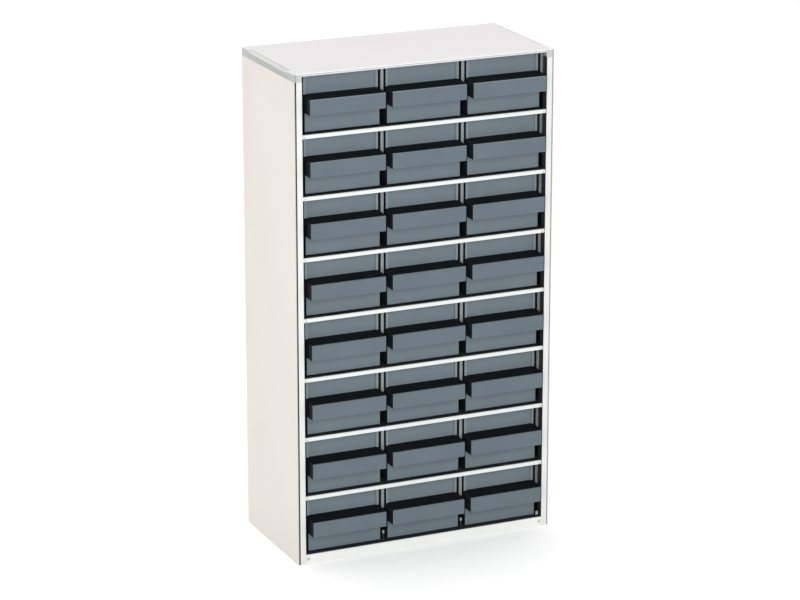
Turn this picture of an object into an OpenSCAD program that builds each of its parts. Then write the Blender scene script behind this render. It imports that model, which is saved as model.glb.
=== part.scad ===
// Small-parts drawer rack: a folded steel case with rows of moulded pull-out drawers.
// Millimetres. +X is to the right, +Y to the back, +Z up. The front faces -Y.
// The origin is at the middle of the footprint, on the surface that the rack stands on.

/* [Layout] */
// Number of drawer rows
rows = 8; // [2:1:9]
// Number of drawers in a row
columns = 3; // [1:1:4]

/* [Case] */
// Depth of the case over its corner caps
case_d = 150; // [142:1:200]
// Clear height of one row at the front
opening_h = 63.6; // [58:0.2:90]
// Height of a shelf's folded front edge
shelf_edge_h = 4.2; // [3.6:0.1:7]
// Height of the strip over the first row, with the lip of the top panel
top_strip_h = 3.2; // [3:0.1:7]
// Height of the plinth
plinth_h = 10.6; // [8:0.2:40]
// Thickness of the steel sheet
sheet_t = 0.8; // [0.6:0.1:1]
// Outer radius of a sheet bend
bend_r = 1.4; // [1.1:0.1:1.8]
// Least flat height left under a bend
fold_land = 0.2; // [0.1:0.02:0.2]
// Width of a front post's face
post_face_w = 6.45; // [6:0.05:14]
// Depth of a front post
post_d = 10; // [7:0.5:10]
// Width of the open groove between a post and its side panel
groove_w = 1.4; // [0.8:0.1:3]
// Distance from the posts' faces back to the shelf edges
edge_setback = 0.8; // [0.2:0.1:1.5]
// Width of a fold that another sheet is fastened to
flange_w = 10; // [7:0.5:14]
// Distance that the rear corner caps stand out behind the back panel
back_inset = 1.5; // [1:0.1:4]

/* [Top edge] */
// Height of the edge trims and corner caps
trim_h = 9; // [7:0.5:14]
// Width of an edge trim seen from above
trim_w = 3.5; // [2.5:0.1:6]
// Depth of the step under the bead of an edge trim
trim_step = 0.4; // [0.2:0.1:0.6]
// Height of the bead of an edge trim
bead_h = 3; // [2:0.1:4]
// Width of the ledge of an edge trim under the top panel
trim_ledge_w = 1.5; // [0.8:0.1:3]
// Length of the tongue that holds an edge trim behind its side panel
tongue_h = 8; // [5:0.5:12]
// Gap between the top panel and an edge trim
trim_seam = 0.5; // [0.2:0.1:0.7]
// Width of a corner cap
cap_w = 7.5; // [6:0.1:8.6]
// Length of a corner cap
cap_l = 20; // [12:0.5:30]
// Radius of the outer edges of a corner cap
cap_r = 2; // [1:0.1:2.5]
// Depth of the post's groove where it runs on up a front corner cap
cap_groove_d = 1.2; // [0.4:0.1:2]
// Height of the top panel's front lip
top_lip_h = 1.4; // [1.2:0.1:1.8]

/* [Row guides] */
// Width of a guide channel
guide_w = 3.5; // [3:0.1:6]
// Distance from the posts' faces back to a guide's front
guide_setback = 10.3; // [10.2:0.1:20]
// Height of the full-depth upper part of a guide
guide_upper_h = 30; // [15:1:40]
// Distance that the lower part of a guide starts further back
guide_cut = 18; // [8:1:40]
// Width of the hook tabs on the base
hook_w = 2.2; // [1.5:0.1:2.4]
// Gap between a hook tab and the guide behind it
hook_gap = 1; // [0.5:0.1:2]
// Height of the hook tabs between the columns
hook_h = 11; // [3:0.5:16]
// Height of the hook tabs beside the side panels
side_hook_h = 4; // [3:0.5:16]

/* [Drawer] */
// Width of a drawer over its front panels
drawer_w = 86.4; // [70:0.2:120]
// Gap between the fronts of two drawers in a row
column_gap = 9; // [7.4:0.1:14]
// Gap between an outer drawer's front and its post
side_gap = 5.75; // [4.6:0.05:9]
// Gap between a drawer's rim and the edge over it
rim_gap = 1.2; // [0.6:0.1:3]
// Height of a drawer's floor over the shelf
floor_gap = 1.9; // [1:0.1:4]
// Thickness of the drawer's walls and floor
wall_t = 1.8; // [1.2:0.1:2.4]
// Thickness of the drawer's front panels and ledge
front_t = 2; // [1.4:0.1:2.6]
// Radius of the drawer's rear corners
corner_r = 6; // [3:0.5:12]
// Distance from the posts' faces back to the upper front panel
upper_setback = 12; // [9.5:0.1:16]
// Distance from the posts' faces back to the lower front panel
lower_setback = 7; // [4:0.1:9]
// Distance that a drawer slides out
drawer_travel = 115; // [60:1:117]

/* [Handle] */
// Distance that the handle stands out in front of the posts
handle_reach = 9; // [4:0.1:14]
// Height from the top of the opening down to the rear of the ledge
ledge_drop = 21.7; // [12:0.1:26]
// Fall of the ledge from its rear to its front
ledge_fall = 2.2; // [0.5:0.1:6]
// Distance that the handle stands out past each side of its drawer
handle_over = 0.4; // [0.2:0.1:0.8]
// Height of the hanging lip
lip_h = 17; // [10:0.1:22]
// Thickness of the hanging lip and of the handle's closed ends
lip_t = 1.8; // [1.4:0.1:2.4]
// Chamfer along the top edge of the hanging lip
lip_chamfer = 0.8; // [0.3:0.1:1.4]
// Width of the foot of a label rail
rail_w = 1.9; // [1.6:0.1:4]
// Width of the part of a label rail that overhangs the card
rail_over = 0.9; // [0.5:0.1:2]
// Thickness of the slot behind a label rail
label_slot = 0.5; // [0.4:0.1:1.2]
// Thickness of a label rail in front of its slot
rail_t = 0.7; // [0.5:0.1:1.2]

/* [Drawer details] */
// Width of a runner under the drawer
runner_w = 3; // [2:0.5:8]
// Distance from a drawer's side to its runner
runner_inset = 10; // [4:1:20]
// Number of places for a cross divider
slots = 3; // [1:1:5]
// Width of the slot that a cross divider fits
slot_w = 1.6; // [1:0.1:3]
// Thickness of the ribs beside a slot
rib_t = 1; // [0.8:0.1:2]
// Distance that the ribs stand out of the wall
rib_reach = 0.9; // [0.5:0.1:2]
// Distance from the rim down to the top of the ribs
rib_drop = 3; // [1:0.5:20]
// Height of a guide rib on the outside of the drawer
guide_rib_h = 2; // [1:0.1:4]
// Height of the guide ribs over the shelf
guide_rib_z = 9; // [5:0.5:20]
// Height that a stop lug rises over the top of the opening
lug_rise = 1.1; // [0.8:0.1:1.2]
// Length of a stop lug
lug_l = 4; // [2:0.5:8]
// Diameter of the buffers on the drawer's rear wall
buffer_d = 5; // [3:0.5:9]
// Height of the buffers over the shelf
buffer_z = 32; // [12:1:50]

/* [Fasteners] */
// Diameter of the rivet heads on the plinth
plinth_rivet_d = 3.2; // [2.4:0.1:4]
// Diameter of the rivet heads on the shelf edges
shelf_rivet_d = 1.8; // [1.4:0.1:2]
// Diameter of the rivet heads on the back
back_rivet_d = 6; // [4:0.5:6.5]
// Number of rivets on each side of the back
back_rivet_count = 4; // [2:1:8]
// Distance from the top of the plinth down to its rivets
plinth_rivet_drop = 4.8; // [3.2:0.1:5.6]
// Height of a rivet head on the front
rivet_head_h = 0.4; // [0.2:0.1:0.7]
// Diameter of the wall screw holes in the back panel
wall_hole_d = 5.5; // [3:0.5:8]
// Distance between the wall screw holes
wall_hole_spacing = 190; // [60:1:200]
// Distance from the top of the case down to the wall screw holes
wall_hole_drop = 36; // [20:1:60]

/* [Clearances] */
// Play under a runner
runner_clear = 0.3; // [0.2:0.05:0.6]
// Play between a guide rib and its guide
guide_clear = 0.6; // [0.4:0.05:1]
// Play left between a stop lug and the edge that it meets
stop_clear = 0.3; // [0.2:0.05:0.6]
// Space behind a drawer for the heads of wall screws
rear_gap = 4; // [3:0.5:8]
// Play between a drawer's buffers and the back panel
buffer_clear = 0.5; // [0.3:0.1:0.9]
// Play between a post's tabs and the nearest drawer
tab_clear = 0.35; // [0.3:0.05:0.6]
// Play around a rivet's shank
rivet_clear = 0.05; // [0.03:0.01:0.1]

/* [Hidden] */
$fn = 48;
eps = 0.01;
// Distance that a cutter runs past what it cuts
past = 1;

// Overall sizes
pitch_x = drawer_w + column_gap;
pitch_z = opening_h + shelf_edge_h;
opening_w = columns * drawer_w + (columns - 1) * column_gap + 2 * side_gap;
half_open = opening_w / 2;
case_w = opening_w + 2 * (post_face_w + groove_w + sheet_t);
half_w = case_w / 2;
case_h = plinth_h + rows * opening_h + (rows - 1) * shelf_edge_h + top_strip_h;
case_front = -(case_d + handle_reach) / 2 + handle_reach;
case_back = case_front + case_d;

// Planes that several pieces share
inner_x = half_w - sheet_t;
post_outer_x = half_open + post_face_w;
frame_top = case_h - trim_h;
top_under = case_h - sheet_t;
side_back = case_back - back_inset;
back_face = side_back - 2 * sheet_t;
post_back = case_front + post_d;
edge_front = case_front + edge_setback;
stop_plane = edge_front + sheet_t;
guide_front = case_front + guide_setback;

// Drawer planes, with Z counted from the shelf under the drawer
upper_front = case_front + upper_setback;
lower_front = case_front + lower_setback;
lip_front = case_front - handle_reach;
drawer_back = back_face - rear_gap;
rim_z = opening_h - rim_gap;
ledge_z = opening_h - ledge_drop;
lip_top_z = ledge_z - ledge_fall;
lip_bottom_z = lip_top_z - lip_h;
ledge_slope = ledge_fall / (upper_setback + handle_reach);
step_z = ledge_z - ledge_slope * (upper_setback - lower_setback);
half_drawer = drawer_w / 2;
handle_w = drawer_w + 2 * handle_over;
guide_reach = column_gap / 2 - guide_w / 2 - guide_clear;
lug_front = stop_plane + stop_clear + drawer_travel;

// Fastener positions
tab_w = side_gap - tab_clear;
tab_x = half_open - tab_w / 2;
back_rivet_x = inner_x - flange_w / 2;
shank_share = 0.5;
tail_share = 0.84;

FRAME_NODES = ["side_panel_left", "side_panel_right", "front_post_left", "front_post_right",
    "top_panel", "top_rail", "base_panel", "back_panel", "edge_trim_left", "edge_trim_right",
    "corner_caps", "shelf_rivets", "plinth_rivets", "back_rivets"];
SHELF_NODES = [for (r = [1:rows - 1]) shelf_name(r)];
GUIDE_NODES = [for (r = [1:rows]) guide_name(r)];
DRAWER_NODES = [for (r = [1:rows], c = [1:columns]) drawer_name(r, c)];

// Rows count from the top, columns from the left. Shelf 1 is under row 1.
function shelf_name(r) = str("shelf_", r);
function guide_name(r) = str("row_", r, "_guides");
function drawer_name(r, c) = str("drawer_row", r, "_col", c);
function row_floor(r) = case_h - top_strip_h - opening_h - (r - 1) * pitch_z;
function row_ceiling(r) = r == 1 ? top_under : row_floor(r - 1) - sheet_t;
function column_x(c) = (c - (columns + 1) / 2) * pitch_x;
function guide_x(i) = (i - columns / 2) * pitch_x;

// Draws what is given on the right and mirrored on the left.
module both_sides() {
    children();
    mirror([1, 0, 0]) children();
}

// Turns a profile drawn as [y, z] into a bar of the given width, centred on x = 0.
module bar_x(width) {
    translate([-width / 2, 0, 0])
        rotate([90, 0, 90])
            linear_extrude(width) children();
}

// Turns a profile drawn as [x, z] into a bar from y = 0 to y = length.
module bar_y(length) {
    translate([0, length, 0])
        rotate([90, 0, 0])
            linear_extrude(length) children();
}

// A box from one corner to the opposite corner.
module box(low, high) {
    translate(low) cube(high - low);
}

// Sheet profile with its front edge folded down, as [y, z] from the fold's outer corner.
module folded_profile(length, drop) {
    r = min(bend_r, drop - fold_land);
    translate([r, -sheet_t]) square([length - r, sheet_t]);
    translate([0, -drop]) square([sheet_t, drop - r]);
    intersection() {
        translate([r, -r])
            difference() {
                circle(r);
                circle(r - sheet_t);
            }
        translate([0, -r]) square([r, r]);
    }
}

// Rivet along +Y with its head in front of y = 0, through a stack of sheets.
module rivet(head_d, head_h, stack) {
    shank_d = head_d * shank_share;
    rotate([90, 0, 0]) cylinder(d = head_d, h = head_h);
    translate([0, stack, 0])
        rotate([90, 0, 0]) cylinder(d = shank_d, h = stack);
    translate([0, stack + head_h, 0])
        rotate([90, 0, 0]) cylinder(d = head_d * tail_share, h = head_h);
}

// Cutter for the hole that a rivet's shank passes through.
module rivet_hole(head_d, stack) {
    hole_d = head_d * shank_share + 2 * rivet_clear;
    translate([0, stack + past, 0])
        rotate([90, 0, 0]) cylinder(d = hole_d, h = stack + 2 * past);
}

// Places children at every rivet of the shelf edges.
module at_shelf_rivets() {
    for (r = [1:rows - 1])
        both_sides()
            translate([tab_x, edge_front, row_floor(r) - (bend_r + shelf_edge_h) / 2]) children();
}

module at_plinth_rivets() {
    both_sides()
        translate([tab_x, case_front, plinth_h - plinth_rivet_drop]) children();
}

module at_back_rivets() {
    for (i = [0:back_rivet_count - 1])
        both_sides()
            translate([back_rivet_x, side_back, (i + 0.5) * frame_top / back_rivet_count])
                mirror([0, 1, 0]) children();
}

// Side panels

module side_panel() {
    color("#ebe6df")
        difference() {
            union() {
                box([inner_x, case_front, 0], [half_w, side_back, frame_top]);
                box([inner_x - flange_w, side_back - sheet_t, 0],
                    [inner_x + eps, side_back, frame_top]);
            }
            at_back_rivets() rivet_hole(back_rivet_d, 2 * sheet_t);
        }
}

// Front posts

// Tab behind a shelf edge or the plinth, which the rivet holds.
module post_tab(front, low, high) {
    box([half_open - tab_w, front, low], [half_open + sheet_t, front + sheet_t, high]);
}

module front_post() {
    color("#f2f4f0")
        difference() {
            union() {
                box([half_open, case_front, 0], [post_outer_x, case_front + sheet_t, frame_top]);
                box([half_open, case_front, 0], [half_open + sheet_t, post_back, frame_top]);
                box([post_outer_x - sheet_t, case_front, 0], [post_outer_x, post_back, frame_top]);
                box([post_outer_x - sheet_t, post_back - sheet_t, 0], [inner_x, post_back, frame_top]);
                post_tab(case_front + sheet_t, 2 * sheet_t, plinth_h - bend_r);
                for (r = [1:rows - 1])
                    post_tab(stop_plane, row_floor(r) - shelf_edge_h, row_floor(r) - bend_r);
            }
            at_plinth_rivets() rivet_hole(plinth_rivet_d, 2 * sheet_t);
            at_shelf_rivets() rivet_hole(shelf_rivet_d, 2 * sheet_t);
        }
}

// Top

module top_panel() {
    color("#edeae8") {
        bar_x(2 * (half_w - cap_w))
            translate([case_front, case_h]) folded_profile(cap_l, top_lip_h);
        box([-(half_w - trim_w - trim_seam), case_front + cap_l, top_under],
            [half_w - trim_w - trim_seam, case_back - cap_l, case_h]);
        bar_x(2 * (half_w - cap_w))
            translate([side_back, case_h])
                mirror([1, 0])
                    folded_profile(side_back - case_back + cap_l, trim_h);
    }
}

module top_rail() {
    color("#f0f1ef") {
        bar_x(2 * (half_w - cap_w))
            translate([edge_front, top_under])
                folded_profile(post_back - edge_front, top_strip_h - sheet_t);
        both_sides()
            box([half_open, edge_front, frame_top], [half_w - cap_w, stop_plane, top_under - bend_r]);
    }
}

// Section of an edge trim as [x, z], for the right side.
module trim_section() {
    bead_x = half_w - trim_w;
    ledge_x = bead_x - trim_ledge_w;
    difference() {
        union() {
            intersection() {
                translate([bead_x, case_h - bead_h]) square([trim_w, bead_h]);
                union() {
                    translate([half_w - bead_h, case_h - bead_h]) circle(bead_h);
                    translate([bead_x, case_h - bead_h]) square([trim_w - bead_h, bead_h]);
                }
            }
            translate([ledge_x, frame_top])
                square([half_w - trim_step - ledge_x, trim_h - bead_h + eps]);
            translate([ledge_x, frame_top]) square([trim_ledge_w + eps, trim_h - sheet_t]);
            translate([inner_x - trim_ledge_w, frame_top - tongue_h])
                square([trim_ledge_w, tongue_h + eps]);
        }
        translate([ledge_x - eps, top_under]) square([trim_ledge_w + eps, 2 * sheet_t]);
    }
}

module edge_trim() {
    color("#c1c5c1")
        translate([0, case_front + cap_l, 0])
            bar_y(case_d - 2 * cap_l) trim_section();
}

// Square with one rounded corner, at its far corner from the origin.
module one_round(w, h, r) {
    square([w - r, h]);
    square([w, h - r]);
    translate([w - r, h - r]) circle(r);
}

// Right front corner cap, rounded on its three outer edges.
module corner_cap() {
    translate([half_w - cap_w, 0, frame_top])
        intersection() {
            translate([0, case_front + cap_l, 0]) mirror([0, 1, 0])
                linear_extrude(trim_h) one_round(cap_w, cap_l, cap_r);
            translate([0, case_front, 0]) bar_y(cap_l) one_round(cap_w, trim_h, cap_r);
            translate([cap_w / 2, case_front + cap_l, 0])
                bar_x(cap_w) mirror([1, 0]) one_round(cap_l, trim_h, cap_r);
        }
}

// Front cap, with the groove beside the post running on to its top.
module front_corner_cap() {
    difference() {
        corner_cap();
        box([post_outer_x, case_front - past, frame_top - past],
            [inner_x, case_front + cap_groove_d, case_h + past]);
    }
}

module corner_caps() {
    color("#ced2ce")
        both_sides() {
            front_corner_cap();
            translate([0, case_front + case_back, 0]) mirror([0, 1, 0]) corner_cap();
        }
}

// Base and back

module base_panel() {
    color("#f2f0ec")
        difference() {
            union() {
                bar_x(opening_w)
                    translate([case_front, plinth_h]) folded_profile(post_d + eps, plinth_h);
                box([-inner_x, post_back, plinth_h - sheet_t], [inner_x, back_face, plinth_h]);
                both_sides()
                    box([inner_x - sheet_t, post_back, 0], [inner_x, back_face, plinth_h]);
                box([-inner_x, back_face - sheet_t, 0], [inner_x, back_face, plinth_h]);
                box([-half_open + tab_w, case_front, 0],
                    [half_open - tab_w, case_front + flange_w, sheet_t]);
                both_sides()
                    box([inner_x - flange_w, post_back, 0], [inner_x, back_face, sheet_t]);
                box([-inner_x, back_face - flange_w, 0], [inner_x, back_face, sheet_t]);
                for (i = [0:columns])
                    translate([guide_x(i), guide_front - hook_gap - sheet_t, plinth_h - eps])
                        box([-hook_w / 2, 0, 0],
                            [hook_w / 2, sheet_t, i % columns == 0 ? side_hook_h : hook_h]);
            }
            at_plinth_rivets() rivet_hole(plinth_rivet_d, 2 * sheet_t);
        }
}

module back_panel() {
    color("#e9e6e0")
        difference() {
            box([-inner_x, back_face, 0], [inner_x, back_face + sheet_t, frame_top]);
            at_back_rivets() rivet_hole(back_rivet_d, 2 * sheet_t);
            both_sides()
                translate([wall_hole_spacing / 2, side_back, case_h - wall_hole_drop])
                    rotate([90, 0, 0]) cylinder(d = wall_hole_d, h = 2 * sheet_t + past);
        }
}

// Shelves and row guides

module shelf(r) {
    top = row_floor(r);
    color("#f4f3ef")
        difference() {
            union() {
                bar_x(opening_w)
                    translate([edge_front, top])
                        folded_profile(post_back - edge_front + eps, shelf_edge_h);
                box([-inner_x, post_back, top - sheet_t], [inner_x, back_face, top]);
                box([-inner_x, back_face - sheet_t, top - shelf_edge_h], [inner_x, back_face, top]);
                both_sides()
                    box([inner_x - sheet_t, post_back, top - shelf_edge_h], [inner_x, back_face, top]);
            }
            at_shelf_rivets() rivet_hole(shelf_rivet_d, 2 * sheet_t);
        }
}

// Double-walled channel between two columns, with its lower part starting further back.
module guide_channel(height) {
    rear = back_face - sheet_t;
    difference() {
        box([-guide_w / 2, guide_front, 0], [guide_w / 2, rear, height]);
        box([-guide_w / 2 + sheet_t, guide_front + sheet_t, -past],
            [guide_w / 2 - sheet_t, rear - sheet_t, height + past]);
        box([-guide_w, guide_front - past, -past],
            [guide_w, guide_front + guide_cut, height - guide_upper_h]);
    }
}

module row_guides(r) {
    color("#b9bdc0")
        for (i = [0:columns])
            translate([guide_x(i), 0, row_floor(r)]) guide_channel(row_ceiling(r) - row_floor(r));
}

// Drawers

// Plan of a drawer's body, square in front and rounded at the back.
module body_plan(half, front, back, r) {
    translate([-half, front]) square([2 * half, back - front - r]);
    translate([-half + r, front]) square([2 * (half - r), back - front]);
    for (s = [-1, 1])
        translate([s * (half - r), back - r]) circle(r);
}

// Section of the handle with the pocket still filled, as [y, z].
module handle_section() {
    polygon([[upper_front + front_t / 2, ledge_z], [upper_front, ledge_z],
        [lip_front + lip_chamfer, lip_top_z + ledge_slope * lip_chamfer],
        [lip_front, lip_top_z - lip_chamfer], [lip_front, lip_bottom_z],
        [lower_front + front_t / 2, lip_bottom_z]]);
}

// Section of the pocket behind the lip, as [y, z].
module pocket_section() {
    front = lip_front + lip_t;
    polygon([[front, lip_bottom_z - past], [front, lip_top_z - front_t + ledge_slope * lip_t],
        [lower_front, step_z - front_t], [lower_front, lip_bottom_z - past]]);
}

// L-shaped rail that holds one end of a label card.
module label_rail() {
    rail_front = upper_front - label_slot - rail_t;
    box([half_drawer - rail_w, rail_front, step_z], [half_drawer, upper_front + eps, rim_z]);
    box([half_drawer - rail_w - rail_over, rail_front, step_z],
        [half_drawer, upper_front - label_slot, rim_z]);
}

// Pairs of ribs on the side walls, for cross dividers.
module slot_ribs() {
    length = drawer_back - upper_front;
    for (i = [1:slots], side = [-1, 1])
        translate([half_drawer - wall_t - rib_reach,
                upper_front + i * length / (slots + 1) + side * (slot_w + rib_t) / 2 - rib_t / 2,
                floor_gap + wall_t / 2])
            cube([rib_reach + wall_t / 2, rib_t, rim_z - floor_gap - wall_t / 2 - rib_drop]);
}

// Wedge on the rim that meets the edge over the drawer.
module stop_lug() {
    translate([half_drawer - wall_t / 2, 0, 0])
        bar_x(wall_t)
            polygon([[lug_front, rim_z - eps], [lug_front, opening_h + lug_rise],
                [lug_front + lug_l / 2, opening_h + lug_rise], [lug_front + lug_l, rim_z - eps]]);
}

// Inside of the drawer's body in plan.
module cavity_plan(front) {
    body_plan(half_drawer - wall_t, front + front_t, drawer_back - wall_t, corner_r - wall_t);
}

module drawer_body() {
    difference() {
        union() {
            translate([0, 0, floor_gap])
                linear_extrude(rim_z - floor_gap)
                    body_plan(half_drawer, upper_front, drawer_back, corner_r);
            translate([0, 0, floor_gap])
                linear_extrude(step_z - floor_gap)
                    body_plan(half_drawer, lower_front, drawer_back, corner_r);
            bar_x(handle_w) handle_section();
        }
        translate([0, 0, floor_gap + wall_t])
            linear_extrude(rim_z) cavity_plan(upper_front);
        translate([0, 0, floor_gap + wall_t])
            linear_extrude(step_z - floor_gap - wall_t - front_t) cavity_plan(lower_front);
        bar_x(handle_w - 2 * lip_t) pocket_section();
    }
}

module drawer(r, c) {
    runner_x = half_drawer - runner_inset;
    color("#77828a")
        translate([column_x(c), 0, row_floor(r)]) {
            drawer_body();
            both_sides() {
                label_rail();
                slot_ribs();
                stop_lug();
                box([runner_x - runner_w / 2, lower_front + front_t, runner_clear],
                    [runner_x + runner_w / 2, drawer_back - corner_r, floor_gap + eps]);
                box([half_drawer - eps, guide_front + guide_cut, guide_rib_z],
                    [half_drawer + guide_reach, drawer_back - corner_r, guide_rib_z + guide_rib_h]);
                translate([runner_x, back_face - buffer_clear, buffer_z])
                    rotate([90, 0, 0]) cylinder(d = buffer_d, h = rear_gap - buffer_clear + eps);
            }
        }
}

// Rivets

module shelf_rivets() {
    color("#c9ccca") at_shelf_rivets() rivet(shelf_rivet_d, rivet_head_h, 2 * sheet_t);
}

module plinth_rivets() {
    color("#c9ccca") at_plinth_rivets() rivet(plinth_rivet_d, rivet_head_h, 2 * sheet_t);
}

module back_rivets() {
    color("#c9ccca") at_back_rivets() rivet(back_rivet_d, rivet_head_h, 2 * sheet_t);
}

mirror([1, 0, 0]) side_panel();  // side_panel_left
side_panel();  // side_panel_right
mirror([1, 0, 0]) front_post();  // front_post_left
front_post();  // front_post_right
top_panel();
top_rail();
base_panel();
back_panel();
mirror([1, 0, 0]) edge_trim();  // edge_trim_left
edge_trim();  // edge_trim_right
corner_caps();
shelf_rivets();
plinth_rivets();
back_rivets();
for (r = [1:rows - 1])
    shelf(r);
for (r = [1:rows])
    row_guides(r);
for (r = [1:rows], c = [1:columns])
    drawer(r, c);
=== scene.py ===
# Looks of the drawer rack: white coated steel case, moulded drawers, grey top edges.
# Metres, +X to the right, +Y to the back, +Z up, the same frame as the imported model.
import math

import bpy
from mathutils import Matrix, Vector


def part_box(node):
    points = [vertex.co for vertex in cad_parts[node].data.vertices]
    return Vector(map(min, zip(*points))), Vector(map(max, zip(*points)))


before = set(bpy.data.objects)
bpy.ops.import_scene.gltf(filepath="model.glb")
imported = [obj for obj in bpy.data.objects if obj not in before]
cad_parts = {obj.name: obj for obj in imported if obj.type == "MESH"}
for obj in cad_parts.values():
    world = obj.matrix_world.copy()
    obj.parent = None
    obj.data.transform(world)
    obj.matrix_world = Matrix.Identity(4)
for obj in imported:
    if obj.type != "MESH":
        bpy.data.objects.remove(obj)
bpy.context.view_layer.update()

ROWS = 8
COLUMNS = 3
MM = 0.001

# Camera at the photograph's viewing angle, without lens shift
CAMERA_AZIMUTH = 0.425
CAMERA_PITCH = 0.297
FOCAL_PX = 3222.0
IMAGE_WIDTH_PX = 800.0
SENSOR_WIDTH_MM = 36.0
CLIP_NEAR = 0.05
CLIP_FAR = 60.0
# Where the foot of the plinth's middle lies in the camera's own axes
FOOT_RIGHT = 28.4 * MM
FOOT_DOWN = 273.3 * MM
FOOT_AHEAD = 3600.0 * MM


def make_camera():
    """Places the camera so that the front foot of the case lies where the photograph has it."""
    plinth_low, plinth_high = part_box("base_panel")
    foot = Vector((0.0, plinth_low.y, 0.0))
    level = math.cos(CAMERA_PITCH)
    ahead = Vector((math.sin(CAMERA_AZIMUTH) * level, math.cos(CAMERA_AZIMUTH) * level,
                    -math.sin(CAMERA_PITCH)))
    right = Vector((math.cos(CAMERA_AZIMUTH), -math.sin(CAMERA_AZIMUTH), 0.0))
    up = right.cross(ahead)
    data = bpy.data.cameras.new("Camera")
    data.sensor_width = SENSOR_WIDTH_MM
    data.lens = FOCAL_PX * SENSOR_WIDTH_MM / IMAGE_WIDTH_PX
    data.clip_start = CLIP_NEAR
    data.clip_end = CLIP_FAR
    camera = bpy.data.objects.new("Camera", data)
    place = foot - right * FOOT_RIGHT + up * FOOT_DOWN - ahead * FOOT_AHEAD
    turn = Matrix((right, up, -ahead)).transposed()
    camera.matrix_world = Matrix.Translation(place) @ turn.to_4x4()
    bpy.context.scene.collection.objects.link(camera)
    bpy.context.scene.camera = camera


make_camera()
bpy.context.scene.view_settings.view_transform = "Standard"


# Node tree helpers

# Range of a noise node that holds nearly all of its values
NOISE_LOW = 0.3
NOISE_HIGH = 0.7
BEVEL_SAMPLES = 4
# Places of the colour sockets on a Mix node, which has others of the same names
MIX_COLOUR_INPUTS = (6, 7)
MIX_COLOUR_OUTPUT = 2


class Tree:
    """A material's node tree, with short calls to add and join nodes."""

    def __init__(self, name):
        self.material = bpy.data.materials.new(name)
        self.material.use_nodes = True
        self.tree = self.material.node_tree
        self.shader = self.tree.nodes["Principled BSDF"]
        self.place = self.add("ShaderNodeTexCoord").outputs["Object"]

    def add(self, kind, **settings):
        node = self.tree.nodes.new(kind)
        for key, value in settings.items():
            setattr(node, key, value)
        return node

    def join(self, source, target):
        self.tree.links.new(source, target)

    def feed(self, source, name):
        """Joins an output to an input of the shader."""
        self.join(source, self.shader.inputs[name])

    def stretched(self, scale):
        """Object coordinates with their own scale along each axis."""
        mapping = self.add("ShaderNodeMapping")
        mapping.inputs["Scale"].default_value = scale
        self.join(self.place, mapping.inputs["Vector"])
        return mapping.outputs["Vector"]

    def noise(self, scale, detail=2.0, roughness=0.5, at=None):
        node = self.add("ShaderNodeTexNoise")
        node.inputs["Scale"].default_value = scale
        node.inputs["Detail"].default_value = detail
        node.inputs["Roughness"].default_value = roughness
        self.join(at or self.place, node.inputs["Vector"])
        return node.outputs["Fac"]

    def spread(self, value, low, high, start=NOISE_LOW, end=NOISE_HIGH):
        """Maps a pattern to the range from low to high."""
        node = self.add("ShaderNodeMapRange")
        node.inputs["From Min"].default_value = start
        node.inputs["From Max"].default_value = end
        node.inputs["To Min"].default_value = low
        node.inputs["To Max"].default_value = high
        self.join(value, node.inputs["Value"])
        return node.outputs["Result"]

    def along(self, axis, start, end):
        """Pattern that goes from 0 to 1 between two places on one axis."""
        parts = self.add("ShaderNodeSeparateXYZ")
        self.join(self.place, parts.inputs["Vector"])
        return self.spread(parts.outputs[axis], 0.0, 1.0, start, end)

    def mixed(self, value, first, second):
        """Colour that goes from first to second as the pattern goes from 0 to 1."""
        node = self.add("ShaderNodeMix", data_type="RGBA")
        self.join(value, node.inputs["Factor"])
        for place, colour in zip(MIX_COLOUR_INPUTS, (first, second)):
            if isinstance(colour, tuple):
                node.inputs[place].default_value = (*colour, 1.0)
            else:
                self.join(colour, node.inputs[place])
        return node.outputs[MIX_COLOUR_OUTPUT]

    def rounded(self, radius):
        """Normal with the sharp edges rounded."""
        node = self.add("ShaderNodeBevel", samples=BEVEL_SAMPLES)
        node.inputs["Radius"].default_value = radius
        return node.outputs["Normal"]

    def edges(self, normal, gain):
        """Pattern that is 1 along sharp edges and 0 elsewhere."""
        flat = self.add("ShaderNodeNewGeometry").outputs["True Normal"]
        dot = self.add("ShaderNodeVectorMath", operation="DOT_PRODUCT")
        self.join(normal, dot.inputs[0])
        self.join(flat, dot.inputs[1])
        node = self.add("ShaderNodeMapRange")
        node.inputs["From Min"].default_value = 1.0
        node.inputs["From Max"].default_value = 1.0 - gain
        self.join(dot.outputs["Value"], node.inputs["Value"])
        return node.outputs["Result"]

    def bump(self, height, depth, normal):
        node = self.add("ShaderNodeBump")
        node.inputs["Strength"].default_value = 1.0
        node.inputs["Distance"].default_value = depth
        self.join(height, node.inputs["Height"])
        self.join(normal, node.inputs["Normal"])
        return node.outputs["Normal"]


def scaled(colour, factor):
    """The colour made darker or paler by a factor."""
    return tuple(factor * part for part in colour)


# Scales of the noise patterns: a larger number gives a finer pattern
COAT_CLOUDS = 9.0
COAT_PEEL = 780.0
COAT_SPECKS = 2600.0
PRIMER_CLOUDS = 30.0
PRIMER_GRAIN = 900.0
ZINC_SPANGLES = 190.0
ZINC_CLOUDS = 60.0
ZINC_GRAIN = 700.0
TRIM_STREAKS = (1700.0, 24.0, 1700.0)
TRIM_CLOUDS = 26.0
PLASTIC_CLOUDS = 16.0
PLASTIC_GRAIN = 1500.0
RIVET_GRAIN = 1300.0

# Radii of the rounded edges
COAT_EDGE = 0.35 * MM
SHEET_EDGE = 0.25 * MM
METAL_EDGE = 0.3 * MM
PLASTIC_EDGE = 0.45 * MM

# Depths of the bumps
PEEL_DEPTH = 0.035 * MM
PRIMER_DEPTH = 0.03 * MM
GRAIN_DEPTH = 0.02 * MM
STREAK_DEPTH = 0.012 * MM

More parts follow.
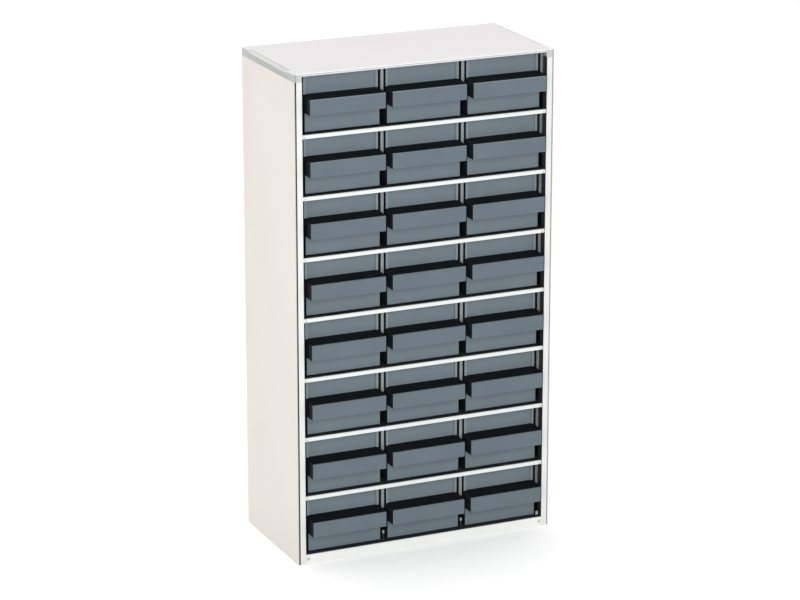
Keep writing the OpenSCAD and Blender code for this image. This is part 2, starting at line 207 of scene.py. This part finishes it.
# How sharply an edge has to turn before it takes the colour of the painted highlight
HIGHLIGHT_GAIN = 0.25
# Heights between which the painted highlight on the edge of the lips fades out
FADE_LOW = 300.0 * MM
FADE_HIGH = 520.0 * MM


# Materials

def coated_steel(name, pale, dull, shine):
    """Powder-coated sheet: fine orange peel, slight clouds of tone and darker specks."""
    t = Tree(name)
    corner = t.rounded(COAT_EDGE)
    clouds = t.spread(t.noise(COAT_CLOUDS, 3.0), 0.0, 1.0)
    peel = t.noise(COAT_PEEL, 2.0, 0.55)
    specks = t.spread(t.noise(COAT_SPECKS, 1.0), 0.0, 0.35)
    colour = t.mixed(clouds, dull, pale)
    t.feed(t.mixed(specks, colour, scaled(pale, 0.93)), "Base Color")
    t.feed(t.spread(peel, shine - 0.05, shine + 0.07), "Roughness")
    t.shader.inputs["Specular IOR Level"].default_value = 0.35
    t.feed(t.bump(peel, PEEL_DEPTH, corner), "Normal")
    return t.material


def painted_shade_coat(name, tone):
    """Dark colour painted as shade on the inside of the case."""
    t = Tree(name)
    clouds = t.spread(t.noise(PRIMER_CLOUDS, 3.0), 0.0, 1.0)
    grain = t.noise(PRIMER_GRAIN, 2.0)
    t.feed(t.mixed(clouds, tone, scaled(tone, 1.5)), "Base Color")
    t.feed(t.spread(grain, 0.6, 0.8), "Roughness")
    t.shader.inputs["Specular IOR Level"].default_value = 0.1
    t.feed(t.bump(grain, PRIMER_DEPTH, t.rounded(SHEET_EDGE)), "Normal")
    return t.material


def split_coat(name, axis, start, before, after, blur):
    """Coat of two colours that meet at a place on one axis, and blend over the length of blur."""
    t = Tree(name)
    clouds = t.spread(t.noise(PRIMER_CLOUDS, 3.0), 0.0, 1.0)
    grain = t.noise(PRIMER_GRAIN, 2.0)
    first = t.mixed(clouds, before, scaled(before, 0.96))
    second = t.mixed(clouds, after, scaled(after, 0.96))
    t.feed(t.mixed(t.along(axis, start, start + blur), first, second), "Base Color")
    t.feed(t.spread(grain, 0.55, 0.75), "Roughness")
    t.shader.inputs["Specular IOR Level"].default_value = 0.15
    t.feed(t.bump(grain, PRIMER_DEPTH, t.rounded(SHEET_EDGE)), "Normal")
    return t.material


def galvanised(name, pale, dull):
    """Zinc-coated sheet with soft spangles."""
    t = Tree(name)
    spangle = t.add("ShaderNodeTexVoronoi")
    spangle.inputs["Scale"].default_value = ZINC_SPANGLES
    t.join(t.place, spangle.inputs["Vector"])
    tint = t.add("ShaderNodeSeparateColor")
    t.join(spangle.outputs["Color"], tint.inputs["Color"])
    clouds = t.spread(t.noise(ZINC_CLOUDS, 3.0), 0.0, 1.0)
    colour = t.mixed(tint.outputs["Red"], dull, pale)
    t.feed(t.mixed(t.spread(clouds, 0.0, 0.4, 0.0, 1.0), colour, dull), "Base Color")
    t.feed(t.spread(tint.outputs["Green"], 0.42, 0.6, 0.0, 1.0), "Roughness")
    t.shader.inputs["Metallic"].default_value = 0.25
    t.feed(t.bump(t.noise(ZINC_GRAIN, 2.0), GRAIN_DEPTH, t.rounded(SHEET_EDGE)), "Normal")
    return t.material


def brushed_trim(name, pale, dull):
    """Satin trim, drawn along its length."""
    t = Tree(name)
    streaks = t.noise(1.0, 3.0, 0.6, t.stretched(TRIM_STREAKS))
    clouds = t.spread(t.noise(TRIM_CLOUDS, 2.0), 0.0, 1.0)
    colour = t.mixed(clouds, dull, pale)
    t.feed(t.mixed(t.spread(streaks, 0.0, 0.35), colour, scaled(dull, 0.82)), "Base Color")
    t.feed(t.spread(streaks, 0.34, 0.5), "Roughness")
    t.shader.inputs["Metallic"].default_value = 0.35
    t.feed(t.bump(streaks, STREAK_DEPTH, t.rounded(METAL_EDGE)), "Normal")
    return t.material


def moulded(name, pale, dull, shine=0.5, specular=0.2, edge=None, low=None):
    """Moulded plastic: fine spark-eroded grain and faint flow clouds.

    edge is the colour of a painted highlight along sharp edges, and low the colour that it fades to
    towards the foot of the case, so that a painted highlight dims lower down.
    """
    t = Tree(name)
    corner = t.rounded(PLASTIC_EDGE)
    clouds = t.spread(t.noise(PLASTIC_CLOUDS, 3.0, 0.6), 0.0, 1.0)
    grain = t.noise(PLASTIC_GRAIN, 2.0, 0.6)
    colour = t.mixed(clouds, dull, pale)
    colour = t.mixed(t.spread(grain, 0.0, 0.3), colour, scaled(dull, 0.86))
    if edge:
        colour = t.mixed(t.edges(corner, HIGHLIGHT_GAIN), colour, edge)
    if low:
        colour = t.mixed(t.along("Z", FADE_LOW, FADE_HIGH), low, colour)
    t.feed(colour, "Base Color")
    t.feed(t.spread(grain, shine - 0.06, shine + 0.08), "Roughness")
    t.shader.inputs["Specular IOR Level"].default_value = specular
    t.feed(t.bump(grain, GRAIN_DEPTH, corner), "Normal")
    return t.material


def rivet_finish(name, pale, dull):
    """Dull aluminium with a fine grain."""
    t = Tree(name)
    grain = t.noise(RIVET_GRAIN, 3.0)
    t.feed(t.mixed(t.spread(grain, 0.0, 1.0), dull, pale), "Base Color")
    t.feed(t.spread(grain, 0.35, 0.55), "Roughness")
    t.shader.inputs["Metallic"].default_value = 0.6
    t.feed(t.bump(grain, GRAIN_DEPTH, t.rounded(METAL_EDGE)), "Normal")
    return t.material


PANEL_WHITE = coated_steel("panel_white_coat", (0.664, 0.627, 0.587), (0.627, 0.596, 0.551), 0.5)
TOP_WHITE = coated_steel("top_white_coat", (0.670, 0.651, 0.651), (0.637, 0.623, 0.623), 0.5)
# The top's front lip is painted grey as painted shade, and the bend over it paler as a painted highlight.
TOP_LIP_SHADED = coated_steel("top_lip_painted_shade", (0.364, 0.368, 0.364), (0.340, 0.344, 0.340), 0.5)
BEND_HIGHLIGHT = coated_steel("bend_painted_highlight", (0.691, 0.700, 0.700), (0.673, 0.682, 0.682), 0.4)
FRAME_WHITE = coated_steel("frame_white_coat", (0.600, 0.609, 0.600), (0.568, 0.577, 0.568), 0.42)
SHELF_WHITE = coated_steel("shelf_white_coat", (0.622, 0.652, 0.638), (0.590, 0.618, 0.606), 0.42)
# The plinth is painted paler than the frame as painted light, against the light falling off near the
# floor.
PLINTH_PAINTED_LIGHT = coated_steel("plinth_painted_light", (0.673, 0.682, 0.664), (0.636, 0.645, 0.627), 0.42)
RAIL_WHITE = coated_steel("rail_white_coat", (0.590, 0.615, 0.615), (0.550, 0.575, 0.575), 0.45)
# The left panel's front edge and the left post's groove wall are painted dark as painted shade; the seams
# beside the top's trims too.
EDGE_PAINTED_SHADE = coated_steel("edge_painted_shade", (0.309, 0.309, 0.300), (0.255, 0.255, 0.245), 0.6)
GROOVE_PAINTED_SHADE = coated_steel("groove_painted_shade", (0.109, 0.109, 0.105), (0.082, 0.082, 0.079), 0.6)

# Colour of the painted shade inside the case, and how far the white coat wraps in from the front
INSIDE_SHADE_TONE = (0.0218, 0.0236, 0.0255)
WRAP_TONE = (0.727, 0.727, 0.709)
WRAP_REACH = 9.0 * MM
# Height of the hook tabs between the columns, and height and colour of their tips: the tip is painted mid
# grey as painted light and shade, and the rest of the tab painted shade
HOOK_HEIGHT = 11.0 * MM
TIP_HEIGHT = 3.5 * MM
TIP_LIGHT_AND_SHADE_TONE = (0.310, 0.320, 0.318)

plinth_low, hook_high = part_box("base_panel")
# The inside of the case is painted dark as painted shade.
INSIDE_PAINTED_SHADE = painted_shade_coat("inside_painted_shade", INSIDE_SHADE_TONE)
SIDE_INNER = split_coat("side_inner_coat", "Y", plinth_low.y + WRAP_REACH, WRAP_TONE, INSIDE_SHADE_TONE,
                        blur=1.0 * MM)
# The tips of the inner hook tabs are painted mid grey as painted light and shade, over painted shade
# below.
HOOK_TIP_PAINTED = split_coat("hook_tip_painted_light_and_shade", "Z", hook_high.z - TIP_HEIGHT, INSIDE_SHADE_TONE, TIP_LIGHT_AND_SHADE_TONE,
                      blur=0.3 * MM)

GUIDE_STEEL = galvanised("guide_galvanised", (0.264, 0.277, 0.282), (0.214, 0.227, 0.236))
TRIM_BEAD = brushed_trim("trim_bead_satin", (0.630, 0.645, 0.632), (0.573, 0.587, 0.575))
TRIM_BAND = brushed_trim("trim_band_satin", (0.430, 0.447, 0.430), (0.361, 0.384, 0.361))
CAP_TOP = moulded("cap_top_plastic", (0.690, 0.700, 0.693), (0.634, 0.643, 0.637), specular=0.3)
# The caps' paler edges are a painted highlight.
CAP_GREY = moulded("cap_plastic", (0.430, 0.447, 0.437), (0.375, 0.397, 0.382), specular=0.3,
                   edge=(0.520, 0.530, 0.520))
RIVET_METAL = rivet_finish("rivet_aluminium", (0.509, 0.527, 0.518), (0.391, 0.409, 0.400))

# The lip, upper panel, label rail and slot faces are the same plastic as the lower panel, and the ledge
# the same as the dark body; their tones are painted light and shade: the lip and the ledge darkened as
# painted shade, the upper panel, label rail and slot faces paled as painted light.
DRAWER_LIP_SHADED = moulded("drawer_lip_painted_shade", (0.103, 0.131, 0.150), (0.091, 0.116, 0.134))
DRAWER_FACE = moulded("drawer_face_plastic", (0.131, 0.165, 0.187), (0.117, 0.147, 0.167))
DRAWER_UPPER_LIT = moulded("drawer_upper_painted_light", (0.157, 0.195, 0.221), (0.139, 0.175, 0.198))
DRAWER_RAIL_LIT = moulded("drawer_rail_painted_light", (0.212, 0.250, 0.270), (0.190, 0.225, 0.243), shine=0.48)
DRAWER_SLOT_LIT = moulded("drawer_slot_painted_light", (0.309, 0.373, 0.409), (0.282, 0.341, 0.375))
# Painted highlight along the rounded top edge of the lips, fading towards the foot of the case.
DRAWER_EDGE_HIGHLIGHT = moulded("drawer_edge_painted_highlight", (0.159, 0.189, 0.207), (0.132, 0.159, 0.177),
                      shine=0.45, specular=0.25, low=(0.078, 0.100, 0.115))
DRAWER_LEDGE_SHADED = moulded("drawer_ledge_painted_shade", (0.0059, 0.0073, 0.0086), (0.0041, 0.0050, 0.0064),
                       shine=0.55, specular=0.05)
DRAWER_BODY = moulded("drawer_body_plastic", (0.0182, 0.0214, 0.0245), (0.0136, 0.0164, 0.0191),
                      shine=0.55, specular=0.12)


# Which faces of a piece get which material

# Distance of each drawer plane behind the front of the lip
LIP_PANEL = 0.0
LOWER_PANEL = 16.0 * MM
LABEL_RAIL = 19.8 * MM
UPPER_PANEL = 21.0 * MM
# How near a face has to be to lie in a plane
NEAR = 0.2 * MM
# Depth of the rounded edge along the top of the lip, and of the folds along the front of the case
LIP_ROUNDING = 1.0 * MM
FOLD_DEPTH = 1.5 * MM
# Height of the bead along the top of the edge trims
BEAD_HEIGHT = 3.0 * MM
# Limits for a face's normal along an axis, from nearly across it to square to it
ACROSS = 0.05
TURNED = 0.1
SLANTED = 0.3
MOSTLY = 0.5
NEARLY_SQUARE = 0.9
SQUARE = 0.97


def paint(node, materials, choose):
    """Gives each face of a node the material that choose(normal, centre) returns."""
    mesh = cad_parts[node].data
    mesh.materials.clear()
    for material in materials:
        mesh.materials.append(material)
    for face in mesh.polygons:
        face.material_index = materials.index(choose(face.normal, face.center))


def paint_all(node, material):
    paint(node, [material], lambda normal, centre: material)


def paint_front_only(node, outside):
    """The folded front of a piece has the outside coat, and the rest is painted shade."""
    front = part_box(node)[0].y

    def choose(normal, centre):
        return outside if centre.y < front + FOLD_DEPTH and normal.y < ACROSS else INSIDE_PAINTED_SHADE

    paint(node, [INSIDE_PAINTED_SHADE, outside], choose)


def paint_drawer(node):
    """Grey front planes with tones painted as light and shade, a painted highlight along the lip's top
    edge, and a dark body.
    """
    low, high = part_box(node)
    middle = (low.x + high.x) / 2
    planes = ((LIP_PANEL, DRAWER_LIP_SHADED), (LABEL_RAIL, DRAWER_RAIL_LIT), (UPPER_PANEL, DRAWER_UPPER_LIT),
              (LOWER_PANEL, DRAWER_FACE))

    def choose(normal, centre):
        depth = centre.y - low.y
        if depth < LIP_ROUNDING and normal.y < -SLANTED and normal.z > SLANTED:
            return DRAWER_EDGE_HIGHLIGHT
        inward = (centre.x - middle) * normal.x < 0.0
        if abs(normal.x) > NEARLY_SQUARE and inward and LABEL_RAIL - NEAR < depth < UPPER_PANEL:
            return DRAWER_SLOT_LIT
        if depth < UPPER_PANEL and normal.z > MOSTLY:
            return DRAWER_LEDGE_SHADED
        if normal.y > -SQUARE:
            return DRAWER_BODY
        for plane, material in planes:
            if abs(depth - plane) < NEAR:
                return material
        return DRAWER_BODY

    paint(node, [DRAWER_BODY, DRAWER_FACE, DRAWER_RAIL_LIT, DRAWER_LIP_SHADED, DRAWER_EDGE_HIGHLIGHT, DRAWER_UPPER_LIT, DRAWER_SLOT_LIT,
                 DRAWER_LEDGE_SHADED], choose)


def paint_post(node, side, groove):
    """White front, painted shade inside, and the groove wall towards the side panel in the given colour:
    painted shade on the left post, white on the right.
    """
    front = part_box(node)[0].y

    def choose(normal, centre):
        if normal.y < -MOSTLY and centre.y < front + NEAR:
            return FRAME_WHITE
        if normal.x * side > MOSTLY:
            return groove
        return INSIDE_PAINTED_SHADE

    paint(node, [INSIDE_PAINTED_SHADE, FRAME_WHITE, groove], choose)


def paint_side(node, edge):
    """White outside, painted shade inside but white along the groove, and a front edge in the given
    colour: painted shade on the left panel, white on the right.
    """
    low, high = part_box(node)
    outer = max(high.x, -low.x)

    def choose(normal, centre):
        if normal.y < -MOSTLY and centre.y < low.y + NEAR:
            return edge
        if abs(abs(centre.x) - outer) < NEAR or abs(normal.x) < MOSTLY:
            return PANEL_WHITE
        return SIDE_INNER

    paint(node, [SIDE_INNER, PANEL_WHITE, edge], choose)


def paint_base():
    """White plinth, painted shade inside. The outer hook tabs are white, and the inner ones are painted
    shade with tips painted mid grey as painted light and shade.
    """
    low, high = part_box("base_panel")
    floor_top = high.z - HOOK_HEIGHT

    def choose(normal, centre):
        if centre.z > floor_top + NEAR:
            return PLINTH_PAINTED_LIGHT if abs(centre.x) > high.x / 2 else HOOK_TIP_PAINTED
        return PLINTH_PAINTED_LIGHT if centre.y < low.y + FOLD_DEPTH and normal.y < ACROSS else INSIDE_PAINTED_SHADE

    paint("base_panel", [INSIDE_PAINTED_SHADE, PLINTH_PAINTED_LIGHT, HOOK_TIP_PAINTED], choose)


def paint_guides(node):
    """Bare zinc on the fronts of the upper parts, painted shade on what lies further back."""
    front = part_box(node)[0].y

    def choose(normal, centre):
        return GUIDE_STEEL if normal.y < -NEARLY_SQUARE and centre.y < front + NEAR else INSIDE_PAINTED_SHADE

    paint(node, [INSIDE_PAINTED_SHADE, GUIDE_STEEL], choose)


def paint_trim(node):
    """Pale bead along the top, and a greyer band under it."""
    bead_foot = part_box(node)[1].z - BEAD_HEIGHT

    def choose(normal, centre):
        return TRIM_BEAD if centre.z > bead_foot + NEAR else TRIM_BAND

    paint(node, [TRIM_BAND, TRIM_BEAD], choose)


def paint_top():
    """White top with a front lip painted grey as painted shade, a bend painted paler as a painted
    highlight, and painted shade in the seams beside the trims.
    """
    low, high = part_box("top_panel")

    def choose(normal, centre):
        if centre.y < low.y + FOLD_DEPTH and normal.y < -SQUARE:
            return TOP_LIP_SHADED
        if centre.y < low.y + FOLD_DEPTH and normal.y < -TURNED and normal.z > TURNED:
            return BEND_HIGHLIGHT
        if abs(normal.x) > NEARLY_SQUARE and abs(centre.x) > high.x - NEAR:
            return GROOVE_PAINTED_SHADE
        return TOP_WHITE if normal.z > -MOSTLY or abs(normal.y) > MOSTLY else INSIDE_PAINTED_SHADE

    paint("top_panel", [INSIDE_PAINTED_SHADE, TOP_WHITE, TOP_LIP_SHADED, BEND_HIGHLIGHT, GROOVE_PAINTED_SHADE], choose)


def paint_back():
    """White behind, painted shade inside the case."""
    paint("back_panel", [INSIDE_PAINTED_SHADE, PANEL_WHITE],
          lambda normal, centre: PANEL_WHITE if normal.y > -MOSTLY else INSIDE_PAINTED_SHADE)


def paint_caps():
    paint("corner_caps", [CAP_GREY, CAP_TOP],
          lambda normal, centre: CAP_TOP if normal.z > MOSTLY else CAP_GREY)


def paint_case():
    """The groove beside the left post is painted dark as painted shade, and that beside the right post
    keeps the pale coat.
    """
    paint_side("side_panel_left", EDGE_PAINTED_SHADE)
    paint_side("side_panel_right", PANEL_WHITE)
    paint_post("front_post_left", -1, GROOVE_PAINTED_SHADE)
    paint_post("front_post_right", 1, PANEL_WHITE)
    paint_base()
    paint_back()
    paint_top()
    paint_caps()
    paint_front_only("top_rail", RAIL_WHITE)
    for shelf in range(1, ROWS):
        paint_front_only(f"shelf_{shelf}", SHELF_WHITE)
    for row in range(1, ROWS + 1):
        paint_guides(f"row_{row}_guides")
    for node in ("edge_trim_left", "edge_trim_right"):
        paint_trim(node)
    for node in ("shelf_rivets", "plinth_rivets", "back_rivets"):
        paint_all(node, RIVET_METAL)


paint_case()
for row in range(1, ROWS + 1):
    for column in range(1, COLUMNS + 1):
        paint_drawer(f"drawer_row{row}_col{column}")


# Floor, light and surroundings

# Half the side of the floor, and how far it lies under the base so that the two don't coincide
FLOOR_HALF = 14.0
FLOOR_DROP = 0.02 * MM
FLOOR_CLOUDS = 1.5
FLOOR_DULL = (0.92, 0.92, 0.915)
FLOOR_PALE = (0.935, 0.935, 0.93)
WORLD_WHITE = (1.0, 1.0, 1.0, 1.0)
WORLD_STRENGTH = 1.155


def make_floor():
    mesh = bpy.data.meshes.new("Floor")
    corners = [(-FLOOR_HALF, -FLOOR_HALF, 0.0), (FLOOR_HALF, -FLOOR_HALF, 0.0),
               (FLOOR_HALF, FLOOR_HALF, 0.0), (-FLOOR_HALF, FLOOR_HALF, 0.0)]
    mesh.from_pydata(corners, [], [(0, 1, 2, 3)])
    floor = bpy.data.objects.new("Floor", mesh)
    floor.location.z = -FLOOR_DROP
    bpy.context.scene.collection.objects.link(floor)
    t = Tree("floor_pale")
    t.feed(t.mixed(t.noise(FLOOR_CLOUDS), FLOOR_DULL, FLOOR_PALE), "Base Color")
    t.shader.inputs["Roughness"].default_value = 0.9
    t.shader.inputs["Specular IOR Level"].default_value = 0.0
    mesh.materials.append(t.material)


def make_softbox(name, place, target, size, power):
    data = bpy.data.lights.new(name, "AREA")
    data.shape = "SQUARE"
    data.size = size
    data.energy = power
    lamp = bpy.data.objects.new(name, data)
    lamp.location = place
    lamp.rotation_euler = (Vector(target) - Vector(place)).to_track_quat("-Z", "Y").to_euler()
    bpy.context.scene.collection.objects.link(lamp)


def make_world():
    world = bpy.data.worlds.new("World")
    world.use_nodes = True
    background = world.node_tree.nodes["Background"]
    background.inputs["Color"].default_value = WORLD_WHITE
    background.inputs["Strength"].default_value = WORLD_STRENGTH
    bpy.context.scene.world = world


make_floor()
make_world()
make_softbox("Key", place=(-0.78, -1.85, 0.93), target=(0.0, 0.0, 0.3), size=0.9, power=15.4)
make_softbox("Fill", place=(1.6, -2.2, 1.2), target=(0.0, 0.0, 0.28), size=1.4, power=5.5)
